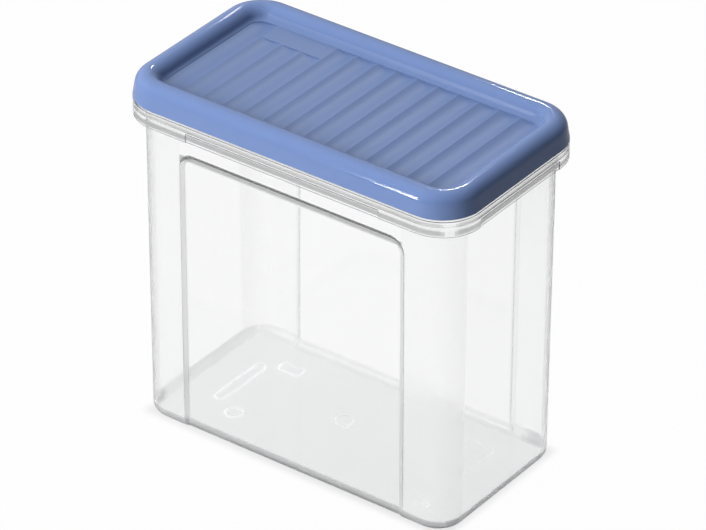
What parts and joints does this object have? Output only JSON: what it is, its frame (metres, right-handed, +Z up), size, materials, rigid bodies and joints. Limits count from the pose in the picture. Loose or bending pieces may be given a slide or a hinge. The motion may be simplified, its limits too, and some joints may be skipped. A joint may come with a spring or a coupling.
{
  "type": "food storage box with lid",
  "caption": "Clear rectangular dry-food storage box with rounded corners and a recessed panel in each long side, closed by a blue push-on lid with a fluted top.",
  "frame": {"origin": "middle of the base, on the surface the box stands on", "axes": "+X along the length, +Y across the width, +Z up; the front long side of the picture faces -Y"},
  "size_m": [0.2, 0.1096, 0.1938],
  "materials": {
    "clear_plastic": "clear moulded polypropylene, smooth and glossy",
    "blue_plastic": "soft blue moulded plastic, glossy raised edge and a slightly matt fluted top"
  },
  "bodies": {
    "root": {"box": "clear_plastic", "lid": "blue_plastic"}
  },
  "joints": []
}
